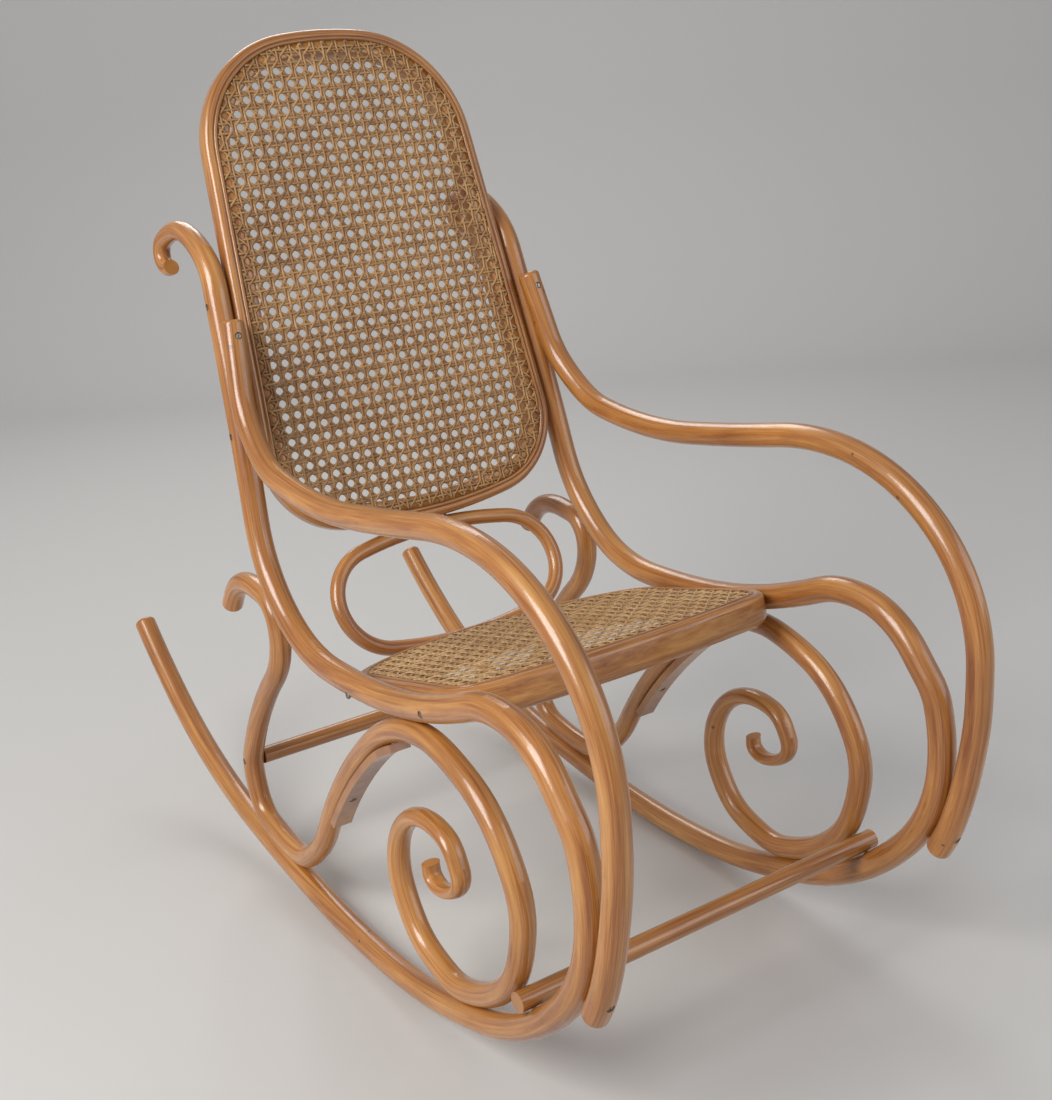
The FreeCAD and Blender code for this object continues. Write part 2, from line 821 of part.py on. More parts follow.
def brace_solid(line):
    """The strip: a bar section carried along the line by straight-sided lofts."""
    wide, thick = size("brace_wide") / 2, size("brace_thick") / 2
    rings = []
    for point in line[:-4:4] + [line[-1]]:
        y, z, turn = point
        out = V(0, -math.sin(turn), math.cos(turn))
        base = V(0, y, z)
        corners = [
            base + V(wide, 0, 0) + out * thick,
            base - V(wide, 0, 0) + out * thick,
            base - V(wide, 0, 0) - out * thick,
            base + V(wide, 0, 0) - out * thick,
        ]
        rings.append(Part.makePolygon(corners + corners[:1]))
    return Part.makeLoft(rings, True, False)


# ------------------------------------------------------------------------- sub-parts

finished = []


def solid_feature(name, shape):
    feature = doc.addObject("Part::Feature", name)
    feature.Shape = shape
    return feature


def side_pieces(label, side):
    origin = V(side * SPREAD, 0, 0)
    place = FreeCAD.Placement(origin, FreeCAD.Rotation())

    def bores(screws):
        return [screw_bore(screw, origin) for screw in screws if screw[0].x * side > 0]

    tip = size("runner_tip")
    rod = solid_feature(
        "runner_rod_" + label,
        bent_solid(
            runner_stations, side, RUNNER_ROD, HINGE, LEAN,
            (0, 3, (tip, RUNNER_ROD), (tip, RUNNER_ROD)),
        ),
    )
    front_screws = [screw for screw in stretcher_screws if screw[0].y < 400]
    rear_screws = [screw for screw in stretcher_screws if screw[0].y > 400]
    tools = bores(arm_screws + scroll_screws + back_screws + seat_screws + front_screws)
    finished.append(bored("side_runner_" + label, rod, tools, place))

    rod = solid_feature(
        "arm_rod_" + label, bent_solid(arm_stations, side, ARM_ROD, ARM_HINGE, ARM_LEAN)
    )
    finished.append(bored("arm_" + label, rod, bores(arm_screws), place))

    last = len(scroll_stations) - 1
    rod = solid_feature(
        "scroll_rod_" + label,
        bent_solid(
            scroll_stations, side, SCROLL_ROD, 0, 0.0,
            (
                last - 7, last,
                (SCROLL_ROD, size("scroll_tip_wide")),
                (SCROLL_ROD, size("scroll_tip_thin")),
            ),
        ),
    )
    tools = bores(scroll_screws + rear_screws + brace_screws)
    finished.append(bored("leg_scroll_" + label, rod, tools, place))

    strip = solid_feature("brace_strip_" + label, brace_solid(brace_path))
    finished.append(bored("leg_brace_" + label, strip, bores(brace_screws), place))


def round_bar(name, radius, reach, y, z, screws):
    """A straight turned bar across the chair."""
    bar = doc.addObject("Part::Cylinder", name + "_bar")
    bar.setExpression("Radius", "sizes." + radius)
    bar.setExpression("Height", reach)
    doc.recompute()
    length = bar.Height.Value
    place = FreeCAD.Placement(V(-length / 2, y, z), FreeCAD.Rotation(V(0, 1, 0), 90))
    tools = [screw_bore(screw, V(0, 0, 0)) for screw in screws]
    for tool in tools:
        tool.Placement = place.inverse().multiply(tool.Placement)
    finished.append(bored(name, bar, tools, place))


def back_ring():
    """The oval ring: a round section swept round a closed line."""
    body = doc.addObject("PartDesign::Body", "ring_wood")
    path = outline_sketch(body, "ring_path", ring_table, [0])
    start = outline_edges(ring_table, 0)[-1].StartPoint
    disc = body.newObject("Sketcher::SketchObject", "ring_section")
    support = [f for f in body.Origin.OriginFeatures if f.Role == "XZ_Plane"]
    disc.AttachmentSupport = [(support[0], "")]
    disc.MapMode = "FlatFace"
    disc.setExpression(".AttachmentOffset.Base.z", "%.6f" % -start.y)
    disc.addGeometry(Part.Circle(V(start.x, 0, 0), V(0, 0, 1), size("ring_rod")), False)
    disc.addConstraint(Sketcher.Constraint("Radius", 0, size("ring_rod")))
    disc.setExpression("Constraints[0]", "sizes.ring_rod")
    pipe = body.newObject("PartDesign::AdditivePipe", "ring_pipe")
    pipe.Profile = disc
    pipe.Spine = path
    body.Tip = pipe
    doc.recompute()
    tools = [screw_bore(screw, V(0, 0, 0)) for screw in ring_screws]
    for tool in tools:
        tool.Placement = ring_place.inverse().multiply(tool.Placement)
    finished.append(bored("back_ring", body, tools, ring_place))


brace_path = brace_line(scroll)
brace_screws = []
for _, side in SIDES:
    for share in (0.2, 0.82):
        y, z, turn = brace_path[int(share * len(brace_path))]
        way = V(0, math.sin(turn), -math.cos(turn))
        start = V(side * SPREAD, y, z) - way * (size("brace_thick") / 2)
        brace_screws.append((start, way, size("brace_thick") + GAP + 15, 0.6))

for label, side in SIDES:
    side_pieces(label, side)
round_bar(
    "front_stretcher", "stretcher_rod", "2 * (sizes.half_spread + sizes.runner_rod)",
    bar_spot[0], bar_spot[1],
    [screw for screw in stretcher_screws if screw[0].y < 400],
)
round_bar(
    "rear_stretcher", "stretcher_rod",
    "2 * (sizes.half_spread - sizes.scroll_rod - sizes.fit_gap)",
    rear_spot[0], rear_spot[1],
    [screw for screw in stretcher_screws if screw[0].y > 400],
)
finished += caned_frame(
    "back", back_table, "back_bar", "back_depth", back_place,
    back_screws + [screw for screw in ring_screws if screw[0].z > back_end.z - 20],
)
finished += caned_frame(
    "seat", seat_table, "seat_bar", "seat_thick", seat_place,
    seat_screws + [screw for screw in ring_screws if screw[0].z < back_end.z - 20],
)
back_ring()
for name, screws in (
    ("arm_screws", arm_screws),
    ("scroll_screws", scroll_screws),
    ("stretcher_screws", stretcher_screws),
    ("back_screws", back_screws),
    ("seat_screws", seat_screws),
    ("ring_screws", ring_screws),
    ("brace_screws", brace_screws),
):
    finished.append(screw_group(name, screws))

doc.recompute()

# The origin is on the floor, under the middle of the whole chair.
extent = FreeCAD.BoundBox()
for piece in finished:
    extent.add(piece.Shape.optimalBoundingBox())
to_middle = FreeCAD.Placement(V(0, -extent.Center.y, 0), FreeCAD.Rotation())
for piece in finished:
    piece.Placement = to_middle.multiply(piece.Placement)
doc.recompute()
print("moved back by %.2f mm" % -extent.Center.y)

for feature in doc.Objects:
    if "Invalid" in feature.State or "Error" in feature.State:
        raise RuntimeError("%s did not recompute: %s" % (feature.Label, feature.State))

os.makedirs("parts", exist_ok=True)
for piece in finished:
    shape = piece.Shape
    if shape.isNull() or not shape.isValid():
        raise RuntimeError(piece.Label + " has no valid shape")
    shape.exportStep("parts/%s.step" % piece.Label)
    print("%-20s %2d solid(s) %10.0f mm3" % (piece.Label, len(shape.Solids), shape.Volume))
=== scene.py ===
# %% [markdown]
# # A bentwood rocking chair
# The chair is steam-bent beech under clear lacquer, with a seat and a back of woven cane.
# Its rods, bars and screws come ready from the construction model. This lesson gives them
# their finish, and makes the pieces that need a maker's detail: the rounded frames, the
# woven cane, and the reed that is pressed into the groove round it.

# %% Load the construction
import math
import random

import bmesh
import bpy
from mathutils import Matrix, Vector
from mathutils.geometry import convex_hull_2d


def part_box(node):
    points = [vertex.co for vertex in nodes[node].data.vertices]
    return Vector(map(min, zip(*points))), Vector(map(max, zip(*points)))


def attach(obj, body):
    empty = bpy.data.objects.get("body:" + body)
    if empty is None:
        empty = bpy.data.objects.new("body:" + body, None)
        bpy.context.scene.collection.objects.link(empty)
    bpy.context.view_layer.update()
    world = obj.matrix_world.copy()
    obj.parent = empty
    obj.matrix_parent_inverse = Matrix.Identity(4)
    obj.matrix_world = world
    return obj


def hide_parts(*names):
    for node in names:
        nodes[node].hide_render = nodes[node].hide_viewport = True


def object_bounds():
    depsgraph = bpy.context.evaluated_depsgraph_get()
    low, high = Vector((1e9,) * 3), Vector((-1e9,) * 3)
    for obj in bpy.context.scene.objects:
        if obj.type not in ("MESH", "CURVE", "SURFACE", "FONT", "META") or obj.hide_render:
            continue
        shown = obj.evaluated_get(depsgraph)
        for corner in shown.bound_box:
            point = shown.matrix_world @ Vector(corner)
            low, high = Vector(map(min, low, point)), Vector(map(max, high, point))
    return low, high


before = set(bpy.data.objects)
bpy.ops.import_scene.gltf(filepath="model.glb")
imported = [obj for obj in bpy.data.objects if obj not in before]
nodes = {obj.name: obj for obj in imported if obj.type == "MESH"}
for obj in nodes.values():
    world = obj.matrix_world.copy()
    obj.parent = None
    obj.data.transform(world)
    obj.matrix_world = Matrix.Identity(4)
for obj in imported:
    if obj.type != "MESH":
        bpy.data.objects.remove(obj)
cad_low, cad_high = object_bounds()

random.seed(7)
MM = 0.001
scene = bpy.context.scene
print("construction box", [round(v, 3) for v in cad_high - cad_low])

# %% [markdown]
# ## Camera
# The chair is seen from its right front, from about the height of its back's top, with a
# lens somewhat longer than normal, so that the near side frame doesn't swell. The camera's
# own right-hand direction is given too, because the view is tipped a little.

# %% Camera
LONG_SIDE = 1100
FOCAL = 1500
camera_data = bpy.data.cameras.new("camera")
camera_data.sensor_width = 36
camera_data.lens = camera_data.sensor_width * FOCAL / LONG_SIDE
camera = bpy.data.objects.new("camera", camera_data)
ahead = Vector((0.5147, 0.7925, -0.3270)).normalized()
right = Vector((0.8260, -0.5606, -0.0589))
right = (right - ahead * right.dot(ahead)).normalized()
above = right.cross(ahead)
turn = Matrix((right, above, -ahead)).transposed().to_4x4()
camera.matrix_world = Matrix.Translation((-0.8963, -1.4985, 1.0419)) @ turn
scene.collection.objects.link(camera)
scene.camera = camera
print("lens %.1f mm" % camera_data.lens)

# %% [markdown]
# ## Floor and light
# A pale floor with a far wall of the same colour keeps attention on the chair. One large
# soft lamp stands for a window high on the left, and a weaker one fills from the right.

# %% Floor and light


def plain_material(name, colour, roughness):
    made = bpy.data.materials.new(name)
    made.use_nodes = True
    shader = made.node_tree.nodes["Principled BSDF"]
    shader.inputs["Base Color"].default_value = (*colour, 1)
    shader.inputs["Roughness"].default_value = roughness
    return made


def floor_mesh(width, depth, height, bend, steps=16):
    """A floor that sweeps up into a wall behind, as one smooth sheet."""
    profile = [(-depth, 0.0)]
    for step in range(steps + 1):
        angle = math.pi / 2 * step / steps
        profile.append((depth - bend + bend * math.sin(angle), bend - bend * math.cos(angle)))
    profile.append((depth, height))
    mesh = bpy.data.meshes.new("floor")
    points = [(x, y, z) for y, z in profile for x in (-width, width)]
    quads = [(2 * i, 2 * i + 1, 2 * i + 3, 2 * i + 2) for i in range(len(profile) - 1)]
    mesh.from_pydata(points, [], quads)
    mesh.polygons.foreach_set("use_smooth", [True] * len(quads))
    return mesh


floor = bpy.data.objects.new("floor", floor_mesh(6.0, 3.6, 4.0, 0.8))
floor.rotation_euler.z = math.radians(-33)
floor.data.materials.append(plain_material("pale_floor", (0.60, 0.59, 0.575), 0.7))
scene.collection.objects.link(floor)


def soft_lamp(name, place, aim, across, watts, colour):
    data = bpy.data.lights.new(name, "AREA")
    data.shape = "RECTANGLE"
    data.size, data.size_y = across
    data.energy = watts
    data.color = colour
    lamp = bpy.data.objects.new(name, data)
    lamp.location = place
    lamp.rotation_euler = (Vector(aim) - Vector(place)).to_track_quat("-Z", "Y").to_euler()
    scene.collection.objects.link(lamp)


MIDDLE = (cad_low + cad_high) / 2
soft_lamp("window", (-2.7, -0.5, 2.3), MIDDLE, (1.5, 1.9), 92, (1.0, 0.98, 0.95))
soft_lamp("fill", (1.9, -2.6, 1.7), MIDDLE, (2.4, 1.8), 26, (0.93, 0.96, 1.0))
soft_lamp("behind", (0.8, 2.4, 2.5), MIDDLE, (1.6, 1.2), 24, (1.0, 0.99, 0.97))
world = bpy.data.worlds.new("room")
world.use_nodes = True
world.node_tree.nodes["Background"].inputs["Color"].default_value = (0.84, 0.85, 0.88, 1)
world.node_tree.nodes["Background"].inputs["Strength"].default_value = 0.42
scene.world = world
scene.view_settings.view_transform = "Standard"
print("three soft lamps and a grey room")

# %% [markdown]
# ## A small kit for materials
# A finish is a chain of nodes. These helpers add a node, link its inputs and set its values
# in one line, so that each finish below reads as a recipe.

# %% Node helpers


class Recipe:
    """One material being made: add() puts in a node and links what it is given."""

    def __init__(self, name):
        self.material = bpy.data.materials.new(name)
        self.material.use_nodes = True
        self.tree = self.material.node_tree
        self.shader = self.tree.nodes["Principled BSDF"]

    def put(self, node, socket, value):
        target = node.inputs[socket]
        if isinstance(value, bpy.types.NodeSocket):
            self.tree.links.new(value, target)
        else:
            target.default_value = value

    def add(self, kind, settings=None, **inputs):
        node = self.tree.nodes.new(kind)
        for key, value in (settings or {}).items():
            setattr(node, key, value)
        for key, value in inputs.items():
            socket = int(key[2:]) if key.startswith("in") else key
            self.put(node, socket, value)
        return node

    def math(self, operation, first, second=0.0):
        node = self.add("ShaderNodeMath", {"operation": operation}, in0=first, in1=second)
        return node.outputs[0]

    def dot(self, vector, axis):
        node = self.add("ShaderNodeVectorMath", {"operation": "DOT_PRODUCT"}, in0=vector, in1=axis)
        return node.outputs["Value"]

    def noise(self, vector, scale, detail=2.0, roughness=0.5):
        node = self.add("ShaderNodeTexNoise", Scale=scale, Detail=detail, Roughness=roughness)
        self.put(node, "Vector", vector)
        return node.outputs["Fac"]

    def ramp(self, value, stops):
        node = self.add("ShaderNodeValToRGB", Fac=value)
        elements = node.color_ramp.elements
        while len(elements) < len(stops):
            elements.new(0.5)
        for element, (place, colour) in zip(elements, stops):
            element.position = place
            element.color = (*colour, 1)
        return node.outputs["Color"]

    def mix(self, share, first, second, blend="MIX"):
        node = self.add("ShaderNodeMix", {"data_type": "RGBA", "blend_type": blend})
        self.put(node, 0, share)
        for socket, value in ((6, first), (7, second)):
            if isinstance(value, tuple):
                value = (*value, 1)
            self.put(node, socket, value)
        return node.outputs[2]

    def bump(self, height, strength, distance):
        node = self.add("ShaderNodeBump", Strength=strength, Distance=distance, Height=height)
        self.tree.links.new(node.outputs["Normal"], self.shader.inputs["Normal"])

    def set(self, **inputs):
        for key, value in inputs.items():
            self.put(self.shader, key.replace("_", " "), value)


# %% [markdown]
# ## Lacquered bentwood
# Beech has fine straight pores that run along the rod, however it is bent. On a rod that is
# bent in one plane, the part of the surface normal along the bend's axle stays the same all
# the way down the rod. So it serves as the coordinate round the rod, and a slow walk in
# space serves as the one along it: noise on those two gives streaks that follow every bend.
# Clear lacquer over it is a coat with a crisp highlight. The wood was dented and rubbed in
# use, so a few dark nicks and dull scuffs go on top.

# %% Lacquered bentwood
HONEY_DARK = (0.270, 0.083, 0.017)
HONEY = (0.470, 0.190, 0.045)
HONEY_LIGHT = (0.620, 0.310, 0.090)
NICK = (0.07, 0.035, 0.018)
COAT = 0.75
COAT_ROUGHNESS = 0.16
WOOD_IOR = 1.48


def honey_ramp(recipe, shade, tone):
    """Lacquered beech from its dark streaks to its light ones."""
    stops = ((0.36, HONEY_DARK), (0.50, HONEY), (0.64, HONEY_LIGHT))
    return recipe.ramp(shade, [(at, tuple(c * tone for c in colour)) for at, colour in stops])


def bent_wood(name, axle, tone=1.0, nicks=0.5):
    """Lacquered beech for rods whose bends turn about the given axle."""
    recipe = Recipe(name)
    place = recipe.add("ShaderNodeTexCoord").outputs["Object"]
    normal = recipe.add("ShaderNodeNewGeometry").outputs["Normal"]
    round_rod = recipe.dot(normal, axle)
    drift = recipe.noise(place, 3.0, 1.0)
    round_rod = recipe.math("ADD", round_rod, recipe.math("MULTIPLY", drift, 0.5))

    def streaks(round_scale, along_scale, detail):
        slow = recipe.add("ShaderNodeVectorMath", {"operation": "SCALE"}, in0=place,
                          Scale=along_scale).outputs[0]
        turned = recipe.add("ShaderNodeVectorMath", {"operation": "SCALE"}, in0=normal,
                            Scale=0.7).outputs[0]
        walk = recipe.add("ShaderNodeVectorMath", {"operation": "ADD"}, in0=slow, in1=turned)
        four = recipe.add("ShaderNodeTexNoise", {"noise_dimensions": "4D"}, Scale=1.0,
                          Detail=detail, Roughness=0.6)
        recipe.put(four, "Vector", walk.outputs[0])
        recipe.put(four, "W", recipe.math("MULTIPLY", round_rod, round_scale))
        return four.outputs["Fac"]

    broad = streaks(3.0, 4.0, 2.0)
    fine = streaks(22.0, 14.0, 3.0)
    pores = streaks(60.0, 45.0, 2.0)
    blotch = recipe.noise(place, 7.0, 3.0)
    shade = recipe.math("ADD", recipe.math("MULTIPLY", broad, 0.55),
                        recipe.math("MULTIPLY", fine, 0.45))
    base = honey_ramp(recipe, shade, tone)
    patches = recipe.ramp(blotch, ((0.35, (0.80, 0.76, 0.70)), (0.62, (1.0, 1.0, 1.0))))
    base = recipe.mix(1.0, base, patches, "MULTIPLY")
    pore_dark = recipe.ramp(pores, ((0.30, (0.62, 0.55, 0.48)), (0.42, (1.0, 1.0, 1.0))))
    base = recipe.mix(0.55, base, pore_dark, "MULTIPLY")

    cells = recipe.add("ShaderNodeTexVoronoi", Scale=34.0, Randomness=1.0)
    recipe.put(cells, "Vector", place)
    worn_zone = recipe.noise(place, 9.0, 1.0)
    nick = recipe.math("LESS_THAN", cells.outputs["Distance"], 0.085)
    rare = recipe.math("GREATER_THAN", worn_zone, 0.66 - 0.08 * nicks)
    nick = recipe.math("MULTIPLY", nick, rare)
    base = recipe.mix(recipe.math("MULTIPLY", nick, 0.75), base, NICK)

    scuff = recipe.noise(place, 60.0, 4.0, 0.7)
    gloss = recipe.add("ShaderNodeMapRange", {"clamp": True}, Value=scuff)
    for socket, value in (("From Min", 0.4), ("From Max", 0.8), ("To Min", 0.30), ("To Max", 0.48)):
        recipe.put(gloss, socket, value)
    recipe.set(Base_Color=base, Roughness=gloss.outputs[0], Coat_Weight=COAT,
               Coat_Roughness=COAT_ROUGHNESS, IOR=WOOD_IOR)
    depth = recipe.math("SUBTRACT", recipe.math("MULTIPLY", fine, 0.3),
                        recipe.math("MULTIPLY", nick, 1.0))
    recipe.bump(depth, 0.35, 0.0006)
    return recipe.material


def finish_node(name, material):
    node = nodes[name]
    node.data.materials.clear()
    node.data.materials.append(material)
    for polygon in node.data.polygons:
        polygon.material_index = 0


rod_wood = bent_wood("rod_wood", (1, 0, 0))
arm_wood = bent_wood("arm_wood", (1, 0, 0), nicks=1.6)
bar_wood = bent_wood("bar_wood", (0, 0.6, 0.8), tone=0.92)
strip_wood = bent_wood("strip_wood", (1, 0, 0), tone=0.85)
for side in ("left", "right"):
    finish_node("side_runner_" + side, rod_wood)
    finish_node("leg_scroll_" + side, rod_wood)
    finish_node("arm_" + side, arm_wood)
    finish_node("leg_brace_" + side, strip_wood)
for bar in ("front_stretcher", "rear_stretcher"):
    finish_node(bar, bar_wood)
print("rods, arms, strips and bars finished")

# %% [markdown]
# ## Where the panels lie
# The seat and the back are flat panels. Each has its own plane: across the chair, along the
# panel, and out of its caned face. The construction's cane plate gives all three, and its
# rim gives the outline that the rest is laid out from.

# %% Panel planes and outlines


class Panel:
    """The plane of a caned panel, and the outline of its cane as a closed run."""

    def __init__(self, cane_node, facing):
        points = [v.co.copy() for v in nodes[cane_node].data.vertices]
        self.across = Vector((1, 0, 0))
        ends = sorted(points, key=lambda p: p.z)
        count = len(ends) // 12
        low = sum(ends[:count], Vector()) / count
        high = sum(ends[-count:], Vector()) / count
        self.along = self.best_along(points, (high - low).normalized())
        self.out = self.across.cross(self.along)
        if self.out.dot(Vector(facing)) < 0:
            self.along = -self.along
            self.out = -self.out
        reach = [p.dot(self.out) for p in points]
        self.face = max(reach)
        self.thick = max(reach) - min(reach)
        flat = [Vector((p.x, p.dot(self.along))) for p in points]
        hull = [flat[i] for i in convex_hull_2d(flat)]
        self.outline = smooth_run(hull, 360)

    def best_along(self, points, guess):
        """Turns the guess about X until the plate is at its thinnest."""
        best = guess
        for width in (0.2, 0.02, 0.002, 0.0002):
            trials = []
            for step in range(-10, 11):
                tried = Matrix.Rotation(width * step / 10, 3, "X") @ best
                out = self.across.cross(tried)
                reach = [p.dot(out) for p in points]
                trials.append((max(reach) - min(reach), step, tried))
            best = min(trials)[2]
        return best

    def at(self, x, t, height=0.0):
        """A place on the panel: across, along, and above the caned face."""
        return self.across * x + self.along * t + self.out * (self.face + height)


def smooth_run(hull, count):
    """Evenly spaced points round a closed outline, eased so that its flats run together."""
    if sum(a.x * b.y - b.x * a.y for a, b in zip(hull, hull[1:] + hull[:1])) < 0:
        hull = hull[::-1]
    lengths = [(b - a).length for a, b in zip(hull, hull[1:] + hull[:1])]
    total = sum(lengths)
    run = []
    index, passed = 0, 0.0
    for step in range(count):
        wanted = total * step / count
        while passed + lengths[index] < wanted:
            passed += lengths[index]
            index += 1
        share = (wanted - passed) / lengths[index]
        run.append(hull[index].lerp(hull[(index + 1) % len(hull)], share))
    for _ in range(3):
        run = [(run[i - 1] + run[i] * 2 + run[(i + 1) % count]) / 4 for i in range(count)]
    return run


def outward(run):
    """The outward direction at each point of a closed run."""
    found = []
    for i, point in enumerate(run):
        ahead_ = run[(i + 1) % len(run)] - run[i - 1]
        found.append(Vector((ahead_.y, -ahead_.x)).normalized())
    return found


back = Panel("back_cane", (0, -1, 0.3))
seat = Panel("seat_cane", (0, 0, 1))
for name, panel in (("back", back), ("seat", seat)):
    print(name, "leans %.1f degrees" % math.degrees(math.asin(panel.along.z)))

# %% [markdown]
# ## Rounded frames
# Each frame is one length of beech, bent round and joined end to end, then rounded over on
# its outer edges. A square-edged frame looks like sawn board, so the section is drawn once,
# with its rounded corners, the groove and the ledge that the cane lies on, and swept round
# the outline. Sweeping keeps the rounding even, which a bevel on a mesh would not.

# %% Sweep a section round an outline


def mesh_object(name, points, faces, smooth=True):
    mesh = bpy.data.meshes.new(name)
    mesh.from_pydata(points, [], faces)
    mesh.update()
    shaped = bmesh.new()
    shaped.from_mesh(mesh)
    bmesh.ops.recalc_face_normals(shaped, faces=shaped.faces)
    shaped.to_mesh(mesh)
    shaped.free()
    mesh.polygons.foreach_set("use_smooth", [smooth] * len(mesh.polygons))
    made = bpy.data.objects.new(name, mesh)
    scene.collection.objects.link(made)
    return made


def arc(centre, radius, start, stop, steps):
    found = []
    for step in range(steps + 1):
        angle = math.radians(start + (stop - start) * step / steps)
        found.append((centre[0] + radius * math.cos(angle), centre[1] + radius * math.sin(angle)))
    return found


def swept_ring(name, panel, section):
    """A closed section, as (out from the cane's rim, above the caned face), swept round."""
    normals = outward(panel.outline)
    points, faces = [], []
    for point, normal in zip(panel.outline, normals):
        for out, height in section:
            spot = point + normal * out
            points.append(panel.at(spot.x, spot.y, height))
    rows, count = len(panel.outline), len(section)
    for row in range(rows):
        for step in range(count):
            after = (row + 1) % rows
            beyond = (step + 1) % count
            faces.append((row * count + step, row * count + beyond,
                          after * count + beyond, after * count + step))
    return mesh_object(name, points, faces)


RIM = 16.3 * MM
GROOVE_WIDE = 5.0 * MM
GROOVE_DEEP = 5.0 * MM
LEDGE_DEEP = 1.6 * MM
PLAY = 0.3 * MM
INNER_ROUND = 3 * MM


def frame_section(bar, depth, over, under):
    """Section of a frame: rounded outside, square ledge for the cane, groove for the reed."""
    inner = RIM - bar
    groove_end = PLAY + GROOVE_WIDE
    section = [(inner + 1.5 * MM, -LEDGE_DEEP), (0.0, -LEDGE_DEEP), (PLAY, -GROOVE_DEEP)]
    section += [(groove_end, -GROOVE_DEEP), (groove_end, -0.2 * MM)]
    section += arc((RIM - over, -over), over, 90, 0, 8)
    section += arc((RIM - under, -depth + under), under, 0, -90, 8)
    section += arc((inner + INNER_ROUND, -depth + INNER_ROUND), INNER_ROUND, 270, 180, 4)
    section += [(inner, -LEDGE_DEEP - 1.5 * MM)]
    return section


frame_bar = {"back": 32 * MM, "seat": 42 * MM}
frame_round = {"back": (8 * MM, 9 * MM), "seat": (8 * MM, 13 * MM)}
frames = {}
for name, panel in (("back", back), ("seat", seat)):
    reach = [v.co.dot(panel.out) for v in nodes[name + "_frame"].data.vertices]
    section = frame_section(frame_bar[name], max(reach) - min(reach), *frame_round[name])
    piece = swept_ring(name + "_frame_bent", panel, section)
    frames[name] = piece
    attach(piece, "root")
    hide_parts(name + "_frame")
    print(piece.name, len(piece.data.polygons), "faces")

# %% [markdown]
# ## Wood of the frames
# On a flat frame the pores run round the rim. Every point of the frame has a distance from
# the outline, so each vertex keeps two numbers: how far across the bar it is, and how far
# round. The finish reads those, so that the pores turn with the corners.

# %% Frame finish


def mark_grain(piece, rows, count):
    """Stores how far round, and how far across the section, each vertex lies."""
    data = piece.data.attributes.new("grain", "FLOAT_VECTOR", "POINT")
    for row in range(rows):
        angle = 2 * math.pi * row / rows
        for step in range(count):
            data.data[row * count + step].vector = (
                math.cos(angle) * 2.2, math.sin(angle) * 2.2, step * 0.55
            )


def frame_wood(name, tone):
    recipe = Recipe(name)
    place = recipe.add("ShaderNodeTexCoord").outputs["Object"]
    grain = recipe.add("ShaderNodeAttribute", {"attribute_name": "grain"}).outputs["Vector"]
    broad = recipe.noise(grain, 1.1, 2.0)
    stretched = recipe.add("ShaderNodeVectorMath", {"operation": "MULTIPLY"}, in0=grain,
                           in1=(3.0, 3.0, 5.0)).outputs[0]
    fine = recipe.noise(stretched, 1.3, 4.0, 0.65)
    shade = recipe.math("ADD", recipe.math("MULTIPLY", broad, 0.5),
                        recipe.math("MULTIPLY", fine, 0.5))
    base = honey_ramp(recipe, shade, tone)
    blotch = recipe.noise(place, 6.0, 3.0)
    patches = recipe.ramp(blotch, ((0.35, (0.82, 0.78, 0.72)), (0.62, (1.0, 1.0, 1.0))))
    base = recipe.mix(1.0, base, patches, "MULTIPLY")
    scuff = recipe.noise(place, 50.0, 4.0, 0.7)
    gloss = recipe.math("ADD", 0.24, recipe.math("MULTIPLY", scuff, 0.2))
    recipe.set(Base_Color=base, Roughness=gloss, Coat_Weight=COAT,
               Coat_Roughness=COAT_ROUGHNESS, IOR=WOOD_IOR)
    recipe.bump(fine, 0.25, 0.0004)
    return recipe.material


for name, panel in (("back", back), ("seat", seat)):
    piece = frames[name]
    rows = len(panel.outline)
    mark_grain(piece, rows, len(piece.data.vertices) // rows)
    piece.data.materials.append(frame_wood(name + "_frame_wood", 0.95))

# %% [markdown]
# ## Six-way cane
# The cane is woven in six ways: pairs of strands up the panel, pairs across it, and single
# strands on both diagonals that cut the corners of every mesh, which leaves eight-sided
# holes. A pattern on a plate would look flat from the side, so every strand is made: a thin
# lens-shaped ribbon that rises and dips where it crosses the others. Each strand is clipped
# to the outline.

# %% Strands
PITCH = 15.9 * MM
PAIR = 1.85 * MM
STRAND = 1.65 * MM
DIAGONAL = 1.5 * MM
WAVE = 0.55 * MM
STRAND_RISE = 0.42
EDGE_DROP = 0.1
WEAVE_DEEP = 0.5 * MM
SHORTEST = 4 * MM


def clipped(outline, start, way):
    """Where a line enters and leaves a convex outline, as distances along it."""
    low, high = -1e9, 1e9
    for a, b in zip(outline, outline[1:] + outline[:1]):
        edge = b - a
        inward = Vector((-edge.y, edge.x))
        rate = way.dot(inward)
        room = (start - a).dot(inward)
        if abs(rate) < 1e-12:
            if room < 0:
                return None
        elif rate > 0:
            low = max(low, -room / rate)
        else:
            high = min(high, -room / rate)
    return (low, high) if high - low > SHORTEST else None


